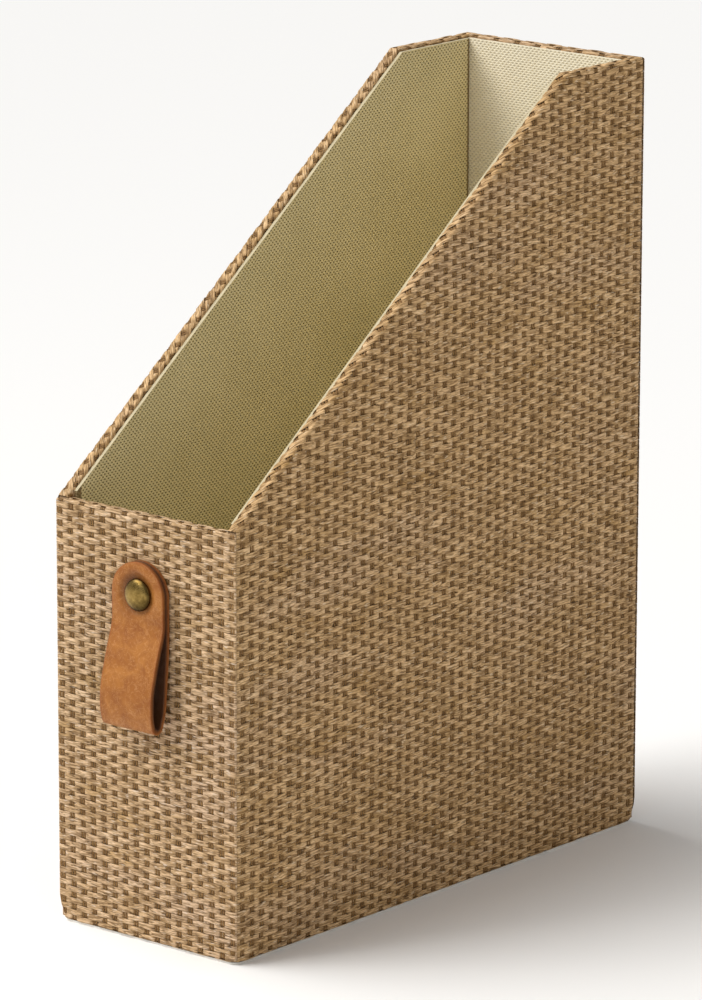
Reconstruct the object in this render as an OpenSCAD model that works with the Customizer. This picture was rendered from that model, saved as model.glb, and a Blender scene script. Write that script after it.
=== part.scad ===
// Magazine file holder: a rigid greyboard case wrapped in woven cord cloth and lined with
// embossed card, with a folded leather pull tab that swivels on one brass rivet.
// The origin is the centre of the underside. +Z is up, and the low front faces -Y.

/* [Case] */
// Outside width
case_w = 92; // [84:1:120]
// Outside depth, front to back
case_d = 251; // [235:1:280]
// Height of the back
case_h = 320; // [300:1:340]
// Height of the low front
front_h = 171; // [140:1:200]
// Level stretch of each side wall's top edge, next to the back
top_level = 50; // [30:1:80]

/* [Layers] */
// Greyboard thickness
board_t = 3; // [2:0.2:4]
// Woven cover thickness
cover_t = 1; // [0.8:0.1:1.4]
// Kraft paper corner stay thickness
stay_t = 0.2; // [0.2:0.1:0.4]
// Lining card thickness
liner_t = 1.4; // [1:0.1:2]
// Paper sheet thickness under the base
sheet_t = 0.8; // [0.6:0.1:1.2]

/* [Folds] */
// Cover turned in over the top edges, down the inside
turn_in = 18; // [10:1:25]
// Cover turned under the base
turn_under = 15; // [8:1:25]
// Width of each leg of a corner stay
stay_w = 20; // [12:1:30]
// How far the lining stops below the rim
liner_drop = 1.2; // [0.2:0.2:3]

/* [Pull tab] */
// Width of the leather strap
strap_w = 26; // [20:1:32]
// Leather thickness
strap_t = 2; // [1.8:0.1:2.2]
// Rivet centre below the front rim
rivet_drop = 30.5; // [28:0.5:60]
// Radius of the domed rivet cap
cap_r = 6.5; // [5:0.5:7]
// Height of the rivet cap's dome
cap_h = 2.6; // [2:0.1:4]
// Radius of the rivet's post
post_r = 2; // [1.5:0.1:2.5]

/* [Hidden] */
$fn = 96;

// Case: half sizes of the nested layers, and the heights of the base's layers
cover_x = case_w / 2 - cover_t;
cover_y = case_d / 2 - cover_t;
board_x = cover_x - stay_t;
board_y = cover_y - stay_t;
inner_x = board_x - board_t;
inner_y = board_y - board_t;
lined_x = inner_x - cover_t;
lined_y = inner_y - cover_t;
board_z = sheet_t + cover_t;
floor_z = board_z + board_t;
slope = atan((case_h - front_h) / (case_d - top_level));

// Pull tab and rivet: distances out from the front face, and the lift hinge below the rivet
tab_gap = 0.4;
seat_depth = 0.9;
seat_gap = 0.15;
seat_r = 9.5;
socket_depth = 1.4;
flange_r = 5;
flange_t = 0.8;
swivel_clearance = 0.05;
rivet_z = front_h - rivet_drop;
head_r = strap_w / 2;
cap_out = tab_gap + 2 * strap_t - seat_depth + seat_gap;
hinge_drop = 11;
hinge_clearance = 0.1;
lift_max = 50;
lift_room = 6;

// The strap's middle line below the hinge: [out from its back face, below the rivet]
loop_route = [[3.0, 11], [3.8, 15], [5.7, 20.6], [7.9, 28.2], [9.9, 36.8], [10.2, 44.4],
              [9.3, 49.4], [8.6, 50.9], [7.0, 51.6], [5.4, 50.9], [4.7, 49.4], [3.3, 44.4],
              [2.4, 36.8], [1.7, 28.2], [1.1, 19.6], [1.0, 11]];
steps_per_span = 5;

// Height of a side wall's sloping top edge at y, lowered squarely by drop
function rim_z(y, drop) = front_h + (y + case_d / 2) * tan(slope) - drop / cos(slope);

// Where the lowered slope meets the lowered level stretch
function knee_y(drop) = -case_d / 2 + (case_h - front_h - drop + drop / cos(slope)) / tan(slope);

// Side wall outline in Y and Z, from low up to the rim lowered by drop
function side_outline(end_y, low, drop) =
    [[-end_y, low], [end_y, low], [end_y, case_h - drop], [knee_y(drop), case_h - drop],
     [-end_y, rim_z(-end_y, drop)]];

// Band that follows a side wall's rim, between two drops
function rim_band(end_y, upper, lower) =
    [[-end_y, rim_z(-end_y, upper)], [knee_y(upper), case_h - upper], [end_y, case_h - upper],
     [end_y, case_h - lower], [knee_y(lower), case_h - lower], [-end_y, rim_z(-end_y, lower)]];

// Smooth curve through a list of points
function spline_point(a, b, c, d, t) =
    0.5 * (2 * b + (c - a) * t + (2 * a - 5 * b + 4 * c - d) * t * t
           + (3 * b - a - 3 * c + d) * t * t * t);
function spline(p, steps) =
    let (last = len(p) - 1)
    [for (i = [0 : last - 1], s = [0 : steps - 1])
        spline_point(p[max(i - 1, 0)], p[i], p[i + 1], p[min(i + 2, last)], s / steps),
     p[last]];

// The same line moved sideways by a distance
function moved_line(p, side) =
    [for (i = [0 : len(p) - 1])
        let (d = p[min(i + 1, len(p) - 1)] - p[max(i - 1, 0)])
        p[i] + side * [d[1], -d[0]] / norm(d)];

// Plate in the YZ plane, from x upwards
module side_plate(x, thickness, outline) {
    translate([x, 0, 0])
        rotate([90, 0, 90])
            linear_extrude(thickness)
                polygon(outline);
}

// Block between two corners
module block(low, high) {
    translate(low)
        cube(high - low);
}

// Round bar along -Y, from out_a to out_b in front of the front face, at the rivet
module rivet_bar(r, out_a, out_b) {
    translate([0, -case_d / 2 - out_a, rivet_z])
        rotate([90, 0, 0])
            cylinder(r = r, h = out_b - out_a);
}

// Strap profile, given as [out from the strap's back face, below the rivet], across the width
module strap_profile(width, points) {
    translate([-width / 2, -case_d / 2 - tab_gap, rivet_z])
        rotate([90, 0, 90])
            linear_extrude(width)
                polygon([for (p = points) [-p[0], -p[1]]]);
}

module base_board() {
    color("tan")
        block([-inner_x, -inner_y, board_z], [inner_x, inner_y, floor_z]);
}

module front_board() {
    color("tan")
        difference() {
            block([-inner_x, -board_y, board_z], [inner_x, -inner_y, front_h - cover_t]);
            rivet_bar(post_r, -cover_t - stay_t - board_t - 1, 1);
        }
}

module back_board() {
    color("tan")
        block([-inner_x, inner_y, board_z], [inner_x, board_y, case_h - cover_t]);
}

module right_board() {
    color("tan")
        side_plate(inner_x, board_t, side_outline(board_y, board_z, cover_t));
}

module left_board() {
    mirror([1, 0, 0])
        right_board();
}

// Paper tape folded round the back right corner of the boards
module back_right_stay(top = case_h - 3) {
    color("peru") {
        block([board_x, board_y - stay_w, board_z], [cover_x, cover_y, top]);
        block([board_x - stay_w, board_y, board_z], [cover_x, cover_y, top]);
    }
}

module back_left_stay() {
    mirror([1, 0, 0])
        back_right_stay();
}

module front_right_stay() {
    mirror([0, 1, 0])
        back_right_stay(front_h - 3);
}

module front_left_stay() {
    mirror([1, 0, 0])
        front_right_stay();
}

// Cover of an end wall at +Y, mitred to the side covers where it turns under
module end_cover(top) {
    y = case_d / 2;
    x = case_w / 2;
    block([-x, cover_y, sheet_t], [x, y, top]);
    block([-inner_x, inner_y, top - cover_t], [inner_x, y, top]);
    block([-lined_x, lined_y, top - turn_in], [lined_x, inner_y, top]);
    translate([0, 0, sheet_t])
        linear_extrude(cover_t)
            polygon([[-x, y], [-x, cover_y], [-x + turn_under, cover_y - turn_under],
                     [x - turn_under, cover_y - turn_under], [x, cover_y], [x, y]]);
}

module back_cover() {
    color("burlywood")
        end_cover(case_h);
}

module front_cover() {
    color("burlywood")
        difference() {
            mirror([0, 1, 0])
                end_cover(front_h);
            rivet_bar(post_r, -cover_t - 1, 1);
        }
}

module right_cover() {
    x = case_w / 2;
    color("burlywood") {
        side_plate(cover_x, cover_t, side_outline(cover_y, sheet_t, 0));
        side_plate(inner_x, x - inner_x, rim_band(cover_y, 0, cover_t));
        side_plate(lined_x, cover_t, rim_band(inner_y, 0, turn_in));
        translate([0, 0, sheet_t])
            linear_extrude(cover_t)
                polygon([[x, -cover_y], [x, cover_y], [x - turn_under, cover_y - turn_under],
                         [x - turn_under, -cover_y + turn_under]]);
    }
}

module left_cover() {
    mirror([1, 0, 0])
        right_cover();
}

// Paper sheet that covers the turned-under cloth, a little inside the outline
module base_sheet() {
    inset = 0.8;
    corner_r = 4;
    x = case_w / 2 - inset;
    y = case_d / 2 - inset;
    color("lightgray") {
        block([-x + corner_r, -y, 0], [x - corner_r, y, sheet_t]);
        block([-x, -y + corner_r, 0], [x, y - corner_r, sheet_t]);
        for (sx = [-1, 1], sy = [-1, 1])
            translate([sx * (x - corner_r), sy * (y - corner_r), 0])
                cylinder(r = corner_r, h = sheet_t);
    }
}

module base_liner() {
    x = lined_x - liner_t;
    y = lined_y - liner_t;
    color("cornsilk")
        block([-x, -y, floor_z], [x, y, floor_z + liner_t]);
}

module end_liner(top) {
    x = lined_x - liner_t;
    color("cornsilk")
        block([-x, lined_y - liner_t, floor_z], [x, lined_y, top - liner_drop]);
}

module back_liner() {
    end_liner(case_h);
}

module front_liner() {
    mirror([0, 1, 0])
        end_liner(front_h);
}

module right_liner() {
    color("cornsilk")
        side_plate(lined_x - liner_t, liner_t, side_outline(lined_y, floor_z, liner_drop));
}

module left_liner() {
    mirror([1, 0, 0])
        right_liner();
}

// Domed cap, pressed onto the post
module rivet_cap() {
    dome_r = (cap_r * cap_r + cap_h * cap_h) / (2 * cap_h);
    color("darkgoldenrod")
        difference() {
            intersection() {
                translate([0, -case_d / 2 - cap_out - cap_h + dome_r, rivet_z])
                    sphere(r = dome_r);
                rivet_bar(cap_r, cap_out, cap_out + cap_h);
            }
            rivet_bar(post_r, cap_out - 1, cap_out + socket_depth);
        }
}

// Post with a flat flange behind the front board, under the lining
module rivet_post() {
    back = -cover_t - stay_t - board_t;
    color("goldenrod") {
        rivet_bar(post_r, back, cap_out + socket_depth);
        rivet_bar(flange_r, back - flange_t, back);
    }
}

// Upper part of the folded strap: two layers clamped under the rivet cap
module tab_head() {
    front = 2 * strap_t;
    reach = 3 * strap_t;
    wedge = lift_max + lift_room;
    color("chocolate")
        difference() {
            union() {
                rivet_bar(head_r, tab_gap, tab_gap + front);
                strap_profile(strap_w, [[0, 0], [front, 0], [front, hinge_drop], [0, hinge_drop]]);
            }
            rivet_bar(post_r + swivel_clearance, 0, 2 * front);
            translate([0, -case_d / 2 - tab_gap - front + seat_depth, rivet_z])
                rotate([90, 0, 0])
                    cylinder(r1 = cap_r + 0.7, r2 = seat_r, h = seat_depth);
            translate([-head_r - 1, -case_d / 2 - tab_gap - strap_t, rivet_z - hinge_drop])
                rotate([0, 90, 0])
                    cylinder(r = strap_t + hinge_clearance, h = strap_w + 2);
            strap_profile(strap_w + 2,
                [[-1, head_r + 1], [-1, hinge_drop], [strap_t, hinge_drop],
                 [strap_t + reach * cos(wedge), hinge_drop - reach * sin(wedge)],
                 [strap_t + reach, hinge_drop], [strap_t + reach, head_r + 1]]);
        }
}

// Lower part of the folded strap: the loop that a finger goes through. Its rounded top
// turns in the hollow under the head.
module tab_loop() {
    middle = spline(loop_route, steps_per_span);
    inner = moved_line(middle, -strap_t / 2);
    knuckle = [for (a = [170 : -14 : 16])
        [strap_t * (1 + cos(a)), hinge_drop - strap_t * sin(a)]];
    color("chocolate")
        difference() {
            strap_profile(strap_w, concat(moved_line(middle, strap_t / 2), knuckle));
            strap_profile(strap_w + 2,
                [for (i = [steps_per_span : len(inner) - steps_per_span]) inner[i]]);
        }
}

base_board();
front_board();
back_board();
left_board();
right_board();
front_left_stay();
front_right_stay();
back_left_stay();
back_right_stay();
front_cover();
back_cover();
left_cover();
right_cover();
base_sheet();
base_liner();
front_liner();
back_liner();
left_liner();
right_liner();
rivet_cap();
rivet_post();
tab_head();
tab_loop();
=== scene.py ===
import math

import bpy
import numpy as np
from mathutils import Matrix, Vector


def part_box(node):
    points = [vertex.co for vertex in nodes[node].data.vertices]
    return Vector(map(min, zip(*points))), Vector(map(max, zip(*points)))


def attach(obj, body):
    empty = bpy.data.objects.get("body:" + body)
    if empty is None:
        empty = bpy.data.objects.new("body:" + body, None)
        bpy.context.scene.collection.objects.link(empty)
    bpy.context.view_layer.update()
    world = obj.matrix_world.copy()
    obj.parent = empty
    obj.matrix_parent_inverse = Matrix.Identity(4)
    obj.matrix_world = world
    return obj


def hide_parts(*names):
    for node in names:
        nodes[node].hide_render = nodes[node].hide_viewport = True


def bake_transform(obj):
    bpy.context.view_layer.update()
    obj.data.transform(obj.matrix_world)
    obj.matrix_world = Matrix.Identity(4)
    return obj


MM = 0.001

# Cloth: two dark warp threads show in each window, and flat wefts run level over the rest. A yarn's knots,
# crown (its height over the case's face), half width and section (across, out) are in millimetres.
PAIR_PITCH = 5.5 * MM
ROW_PITCH = 2.3 * MM
WEFT_KNOTS = [1.28, 1.68, 3.3, 5.5, 7.7, 9.32, 9.72, 12.28]
WEFT_CROWN = [-0.50, -0.04, 0.05, 0.08, 0.05, -0.04, -0.50, -0.50]
WEFT_HALF = [1.02, 1.14, 1.20, 1.22, 1.20, 1.14, 1.02, 1.02]
WEFT_RING = [(-1.0, -0.20), (-0.66, -0.02), (-0.08, -0.07), (0.58, 0.0), (1.0, -0.20), (-1.0, -0.20)]
WARP_KNOTS = [-1.05, 0.0, 1.05, 2.3, 3.55]
WARP_CROWN = [-0.26, -0.17, -0.26, -0.50, -0.26]
WARP_RING = [(-0.40, -0.24), (0.0, 0.0), (0.40, -0.24), (-0.40, -0.24)]
WARP_APART = 1.30 * MM
END_SLACK = 1.0
SIDE_SLACK = 1.35

# Backing: how far it lies under the faces that yarns cover, and how near a face a vertex counts as on it
GROUND_DROP = 0.88 * MM
ON_FACE = 0.02 * MM

# Rims: how round the folded edges are, and how far the yarns go on inside and under the base
RIM_ROUND = 1.1 * MM
EDGE_ROUND = 0.7 * MM
DOWN_INSIDE = 2.2 * MM
UNDER_BASE = 3.0 * MM
NO_FAR_EDGE = 20.0 * MM
DEEPEST_RELIEF = -1.0 * MM

# Upright corners: the gap where a side's cloth meets an end's, how far it is let in there, where the yarns
# are pulled tight, how far up the corners are softened, and how round they are at the foot
BUTT_GAP = 0.12 * MM
BUTT_DROP = 0.5 * MM
TIGHT_FROM = 2.6 * MM
TIGHT_OVER = 1.8 * MM
TIGHT_SHARE = 0.7
FOOT_HIGH = 12.0 * MM
FOOT_ROUND = 5.0 * MM

# The side walls' slope runs this far back from the front face
SLOPE_LONG = 201.0 * MM

# Bake map: the room left over the cloth, and the small corner that the faces turned inwards share
MAP_ROOM = 20.0 * MM
MAP_CORNER = 0.995
MAP_CORNER_SIZE = 0.004

# Lining: embossed dots to the metre, along and up
DOTS_ALONG = 480.0
DOTS_UP = 500.0

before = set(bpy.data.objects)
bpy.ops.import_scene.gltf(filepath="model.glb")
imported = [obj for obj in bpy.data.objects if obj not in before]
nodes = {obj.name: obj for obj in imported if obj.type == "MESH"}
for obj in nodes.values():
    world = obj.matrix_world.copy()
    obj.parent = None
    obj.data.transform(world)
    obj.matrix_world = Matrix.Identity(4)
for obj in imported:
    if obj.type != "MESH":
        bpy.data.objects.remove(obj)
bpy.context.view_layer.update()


# ---------------------------------------------------------------- handling

def deselect():
    """Leaves edit mode and selects nothing."""
    if bpy.context.object and bpy.context.object.mode != "OBJECT":
        bpy.ops.object.mode_set(mode="OBJECT")
    bpy.ops.object.select_all(action="DESELECT")


def pick(piece):
    """Makes one piece the selected and active one."""
    deselect()
    piece.select_set(True)
    bpy.context.view_layer.objects.active = piece


def edit_all(piece):
    """Opens a piece in edit mode with all of it selected."""
    pick(piece)
    bpy.ops.object.mode_set(mode="EDIT")
    bpy.ops.mesh.select_all(action="SELECT")


def apply_modifier(piece, kind, **settings):
    """Adds a modifier with its settings and applies it."""
    pick(piece)
    modifier = piece.modifiers.new(kind.title(), kind)
    for key, value in settings.items():
        setattr(modifier, key, value)
    bpy.ops.object.modifier_apply(modifier=modifier.name)


def copy_of(piece, name):
    """A copy of a piece with a mesh of its own and no parent."""
    twin = bpy.data.objects.new(name, piece.data.copy())
    twin.data.name = name
    bpy.context.scene.collection.objects.link(twin)
    return twin


def joined(pieces, name):
    """Several pieces as one mesh."""
    deselect()
    for piece in pieces:
        piece.select_set(True)
    bpy.context.view_layer.objects.active = pieces[0]
    if len(pieces) > 1:
        bpy.ops.object.join()
    pieces[0].name = name
    pieces[0].data.name = name
    return pieces[0]


def places(piece):
    """The vertices' places as an array."""
    flat = np.zeros(len(piece.data.vertices) * 3, np.float32)
    piece.data.vertices.foreach_get("co", flat)
    return flat.reshape(-1, 3).astype(float)


def put(piece, spots):
    """Moves the vertices to new places."""
    piece.data.vertices.foreach_set("co", spots.astype(np.float32).ravel())
    piece.data.update()


def cut(piece, point, outward):
    """Cuts off what lies beyond a plane."""
    edit_all(piece)
    bpy.ops.mesh.bisect(plane_co=point, plane_no=outward, clear_outer=True)
    bpy.ops.object.mode_set(mode="OBJECT")


def score(piece, point, normal):
    """Adds a line of vertices where a plane crosses, so that the mesh can bend there."""
    edit_all(piece)
    bpy.ops.mesh.bisect(plane_co=point, plane_no=normal)
    bpy.ops.object.mode_set(mode="OBJECT")


# ---------------------------------------------------------------- unevenness

def hashed(a, b, seed):
    """A steady number from 0 to 1 for each lattice point."""
    mixed = np.sin(a * 127.1 + b * 311.7 + seed * 74.7) * 43758.5453
    return mixed - np.floor(mixed)


def wander(a, b, seed):
    """Smooth noise from -1 to 1 over two coordinates."""
    ia = np.floor(a)
    ib = np.floor(b)
    fa = a - ia
    fb = b - ib
    fa = fa * fa * (3 - 2 * fa)
    fb = fb * fb * (3 - 2 * fb)
    low = hashed(ia, ib, seed) * (1 - fa) + hashed(ia + 1, ib, seed) * fa
    high = hashed(ia, ib + 1, seed) * (1 - fa) + hashed(ia + 1, ib + 1, seed) * fa
    return (low * (1 - fb) + high * fb) * 2 - 1


def uneven(u, v, seed, slack):
    """How far yarns stray from a true grid, along and up: slow and quick wanders, over cells in metres."""
    along = 0.42 * wander(u / 0.017, v / 0.009, seed + 1)
    along += 0.24 * wander(u / 0.006, v / 0.0032, seed + 2)
    up = 0.55 * wander(u / 0.045, v / 0.012, seed + 3)
    up += 0.20 * wander(u / 0.011, v / 0.0047, seed + 4)
    return along * slack * MM, up * slack * MM


# ---------------------------------------------------------------- yarns, woven flat

def yarn_unit(name, knots, crown, half, ring):
    """One repeat of a yarn: a grid rolled up into a flat tube whose height and width change along it."""
    deselect()
    bpy.ops.mesh.primitive_grid_add(x_subdivisions=len(knots) - 1, y_subdivisions=len(ring) - 1, size=2)
    unit = bpy.context.object
    unit.name = name
    spots = places(unit)
    along = np.rint((spots[:, 0] + 1) / 2 * (len(knots) - 1)).astype(int)
    around = np.rint((spots[:, 1] + 1) / 2 * (len(ring) - 1)).astype(int)
    rings = np.array(ring)
    spots[:, 0] = np.array(knots)[along] * MM
    spots[:, 2] = rings[around, 0] * np.array(half)[along] * MM
    spots[:, 1] = -(np.array(crown)[along] + rings[around, 1]) * MM
    put(unit, spots)
    edit_all(unit)
    bpy.ops.mesh.remove_doubles(threshold=1e-7)
    bpy.ops.object.mode_set(mode="OBJECT")
    return unit


def repeat(piece, count, step):
    """Repeats a piece in a row, joined where the ends meet."""
    apply_modifier(piece, "ARRAY", count=count, use_relative_offset=False, use_constant_offset=True,
                   constant_offset_displace=step, use_merge_vertices=True, merge_threshold=1e-6)


def shifted(piece, offset):
    """A copy of a piece, moved."""
    twin = copy_of(piece, piece.name + "_next")
    put(twin, places(twin) + np.array(offset))
    return twin


def flat_wefts(low_u, high_u, low_v, high_v):
    """Level yarns over a field, every second row half a repeat along."""
    row = yarn_unit("weft", WEFT_KNOTS, WEFT_CROWN, WEFT_HALF, WEFT_RING)
    first = math.floor(low_u / PAIR_PITCH / 2) - 1
    bottom = math.floor(low_v / ROW_PITCH / 2)
    put(row, places(row) + np.array((first * 2 * PAIR_PITCH, 0, bottom * 2 * ROW_PITCH)))
    repeat(row, math.ceil((high_u - low_u) / PAIR_PITCH / 2) + 3, (2 * PAIR_PITCH, 0, 0))
    repeat(row, math.ceil((high_v - low_v) / ROW_PITCH / 2) + 1, (0, 0, 2 * ROW_PITCH))
    other = shifted(row, (PAIR_PITCH, 0, ROW_PITCH))
    return joined([row, other], "weft")


def flat_warps(low_u, high_u, low_v, high_v):
    """Upright yarns in pairs, over the wefts in every second row."""
    thread = yarn_unit("warp", WARP_KNOTS, WARP_CROWN, [1.0] * len(WARP_KNOTS), WARP_RING)
    spots = places(thread)
    put(thread, np.stack((-spots[:, 2], spots[:, 1], spots[:, 0]), axis=1))
    first = math.floor(low_u / PAIR_PITCH / 2)
    bottom = math.floor(low_v / ROW_PITCH / 2) - 1
    start = np.array((first * 2 * PAIR_PITCH - WARP_APART / 2, 0, bottom * 2 * ROW_PITCH))
    put(thread, places(thread) + start)
    repeat(thread, math.ceil((high_v - low_v) / ROW_PITCH / 2) + 3, (0, 0, 2 * ROW_PITCH))
    twin = shifted(thread, (WARP_APART, 0, 0))
    pair = joined([thread, twin], "warp")
    repeat(pair, math.ceil((high_u - low_u) / PAIR_PITCH / 2) + 1, (2 * PAIR_PITCH, 0, 0))
    other = shifted(pair, (PAIR_PITCH, 0, ROW_PITCH))
    return joined([pair, other], "warp")


def lay_out(piece, low, size):
    """Two maps from the flat cloth: one in yarn counts for the finish, and one for the bake."""
    mesh = piece.data
    corner = np.zeros(len(mesh.loops), np.int32)
    mesh.loops.foreach_get("vertex_index", corner)
    spots = places(piece)[corner]
    out = np.zeros(len(mesh.polygons) * 3, np.float32)
    mesh.polygons.foreach_get("normal", out)
    sizes = np.zeros(len(mesh.polygons), np.int32)
    mesh.polygons.foreach_get("loop_total", sizes)
    hidden = np.repeat(out.reshape(-1, 3)[:, 1] > 0.5, sizes)
    while mesh.uv_layers:
        mesh.uv_layers.remove(mesh.uv_layers[0])
    yarn = mesh.uv_layers.new(name="yarn")
    counts = np.stack((spots[:, 0] / PAIR_PITCH, spots[:, 2] / ROW_PITCH), axis=1)
    yarn.data.foreach_set("uv", counts.astype(np.float32).ravel())
    bake = mesh.uv_layers.new(name="OFBake")
    spread = np.stack(((spots[:, 0] - low[0]) / size, (spots[:, 2] - low[1]) / size), axis=1)
    spread[hidden] = MAP_CORNER + MAP_CORNER_SIZE * spread[hidden]
    bake.data.foreach_set("uv", spread.astype(np.float32).ravel())
    mesh.uv_layers.active = yarn
    yarn.active_render = True


def stray(piece, seed, slack, is_weft):
    """Shifts the yarns off the true grid, and makes wefts thick and thin along their length."""
    spots = places(piece)
    u = spots[:, 0].copy()
    v = spots[:, 2].copy()
    along, up = uneven(u, v, seed, slack)
    if is_weft:
        row = np.rint(v / ROW_PITCH)
        centre = row * ROW_PITCH
        thick = 1.05 + 0.23 * wander(u / 0.0065, row * 3.7, seed + 5)
        bodily = 0.26 * wander(u / 0.015, row * 2.3, seed + 6) * slack * MM
        along_c, up_c = uneven(u, centre, seed, slack)
        spots[:, 0] = u + along_c
        spots[:, 2] = centre + up_c + (v - centre) * thick + bodily
        lift = 0.08 * wander(u / 0.006, row * 5.1, seed + 7) * MM
        twist = 0.12 * wander(u / 0.005, row * 7.7, seed + 8) * (v - centre) / ROW_PITCH * 2 * MM
        spots[:, 1] += lift + twist
    else:
        spots[:, 0] = u + along
        spots[:, 2] = v + up
    put(piece, spots)


# ---------------------------------------------------------------- folding over the edges

def fold(spots, start, outward, width, round_r):
    """Bends flat cloth round two edges of a rim. spots are along, out and up; outward lies in the flat."""
    n = np.array(outward, float)
    flat = spots[:, [0, 2]]
    beyond = (flat - np.array(start)) @ n
    along = flat - np.outer(beyond, n)
    relief = spots[:, 1]
    turn = np.clip((beyond + round_r) / round_r, 0, math.pi / 2)
    across = np.maximum(beyond + round_r - round_r * math.pi / 2, 0)
    level = width - 2 * round_r
    turn_in = np.clip((across - level) / round_r, 0, math.pi / 2)
    down = np.maximum(across - level - round_r * math.pi / 2, 0)
    straight = np.minimum(across, level)
    side = np.where(beyond <= -round_r, beyond, -round_r + (round_r + relief) * np.sin(turn))
    out = np.where(beyond <= -round_r, relief, -round_r + (round_r + relief) * np.cos(turn) - straight)
    inner_side = -round_r + (round_r + relief) * np.cos(turn_in) - down
    inner_out = -(width - round_r) - (round_r + relief) * np.sin(turn_in)
    late = across > level
    side = np.where(late, inner_side, side)
    out = np.where(late, inner_out, out)
    moved = along + np.outer(side, n)
    return np.stack((moved[:, 0], out, moved[:, 1]), axis=1)


def reach(width, round_r, down):
    """How far past the edge the flat cloth has to go to come down that far inside."""
    return width - 2 * round_r + math.pi * round_r + down - round_r


def bend_lines(piece, start, outward, round_r, width=None):
    """Scores the cloth where it bends round an edge, and round the inner edge of a rim of some width."""
    n = Vector((outward[0], 0, outward[1]))
    base = Vector((start[0], 0, start[1]))
    for step in (-1.0, -1.0 + math.pi / 4, -1.0 + math.pi / 2):
        score(piece, base + n * (step * round_r), n)
    if width:
        far = width - 2 * round_r + (math.pi / 2 - 1) * round_r
        for step in (0, math.pi / 4, math.pi / 2):
            score(piece, base + n * (far + step * round_r), n)


def stand_up(spots, face, u_axis, out_axis):
    """From along, out and up on the flat cloth to places on the case."""
    across = np.array(face) + np.outer(spots[:, 0], u_axis) + np.outer(spots[:, 1], out_axis)
    return across + np.outer(spots[:, 2], (0, 0, 1))


def close_ends(piece):
    """Closes the cut ends of the yarns and smooths them."""
    edit_all(piece)
    bpy.ops.mesh.remove_doubles(threshold=2e-6)
    bpy.ops.mesh.select_all(action="SELECT")
    bpy.ops.mesh.fill_holes(sides=0)
    bpy.ops.object.mode_set(mode="OBJECT")
    pick(piece)
    bpy.ops.object.shade_smooth_by_angle(angle=math.radians(75))


def regions(piece, parts):
    """Cuts one copy of the cloth for each region, given as a list of planes, and joins them."""
    kept = []
    for index, planes in enumerate(parts):
        part = copy_of(piece, f"{piece.name}_{index}")
        for point, outward in planes:
            cut(part, (point[0], 0, point[1]), (outward[0], 0, outward[1]))
        kept.append(part)
    bpy.data.objects.remove(piece)
    return joined(kept, "cloth")


def mesh_flip(piece):
    """Turns a mirrored mesh's faces outwards again."""
    edit_all(piece)
    bpy.ops.mesh.flip_normals()
    bpy.ops.object.mode_set(mode="OBJECT")


# ---------------------------------------------------------------- the end walls' cloth

def end_cloth(name, half_width, board_half, top, rim, seed, u_axis, out_axis, face_y):
    """Wefts and warps of an end wall's cover."""
    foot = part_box(name)[0].z
    over = reach(rim, RIM_ROUND, DOWN_INSIDE)
    edge = (math.pi / 2 - 1) * EDGE_ROUND
    corner_end = top + edge
    made = []
    for kind, weave in (("weft", flat_wefts), ("warp", flat_warps)):
        cloth = weave(-half_width, half_width, foot - UNDER_BASE, top + over)
        lay_out(cloth, (-half_width - 3 * MM, foot - 6 * MM), top + MAP_ROOM)
        stray(cloth, seed, END_SLACK, kind == "weft")
        main = [((half_width + edge, 0), (1, 0)), ((-half_width - edge, 0), (-1, 0)),
                ((0, foot - UNDER_BASE), (0, -1)), ((0, corner_end), (0, 1))]
        strip = [((board_half, 0), (1, 0)), ((-board_half, 0), (-1, 0)),
                 ((0, corner_end), (0, -1)), ((0, top + over), (0, 1))]
        cloth = regions(cloth, [main, strip])
        bend_lines(cloth, (0, top), (0, 1), RIM_ROUND, rim)
        bend_lines(cloth, (0, foot), (0, -1), RIM_ROUND)
        bend_lines(cloth, (half_width, 0), (1, 0), EDGE_ROUND)
        bend_lines(cloth, (-half_width, 0), (-1, 0), EDGE_ROUND)
        spots = places(cloth)
        spots[:, 1] = -spots[:, 1] * calmer(spots[:, 0], half_width)
        spots = fold(spots, (0, top), (0, 1), rim, RIM_ROUND)
        spots = fold(spots, (0, foot), (0, -1), NO_FAR_EDGE, RIM_ROUND)
        spots = round_side(spots, half_width, EDGE_ROUND)
        put(cloth, stand_up(spots, (0, face_y, 0), u_axis, out_axis))
        cloth.name = f"{name}_{kind}"
        cloth.data.name = cloth.name
        close_ends(cloth)
        made.append(cloth)
    return made


def calmer(along, half_width):
    """How much of their relief the yarns keep, pulled tight towards an upright edge."""
    near = np.clip((np.abs(along) - half_width + TIGHT_FROM) / TIGHT_OVER, 0, 1)
    return 1 - TIGHT_SHARE * near


def round_side(spots, half_width, round_r):
    """Rounds the cloth back at its two upright edges, at whatever depth it already has."""
    beyond = np.abs(spots[:, 0]) - half_width + round_r
    turn = np.clip(beyond / round_r, 0, math.pi / 2)
    past = beyond > 0
    sign = np.sign(spots[:, 0])
    relief = np.maximum(spots[:, 1], DEEPEST_RELIEF)
    inward = np.where(past, half_width - round_r + (round_r + relief) * np.sin(turn), 0)
    drop = np.where(past, (round_r + relief) * (np.cos(turn) - 1), 0)
    spots[:, 0] = np.where(past, sign * inward, spots[:, 0])
    spots[:, 1] += drop
    return spots


# ---------------------------------------------------------------- the side walls' cloth

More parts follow.
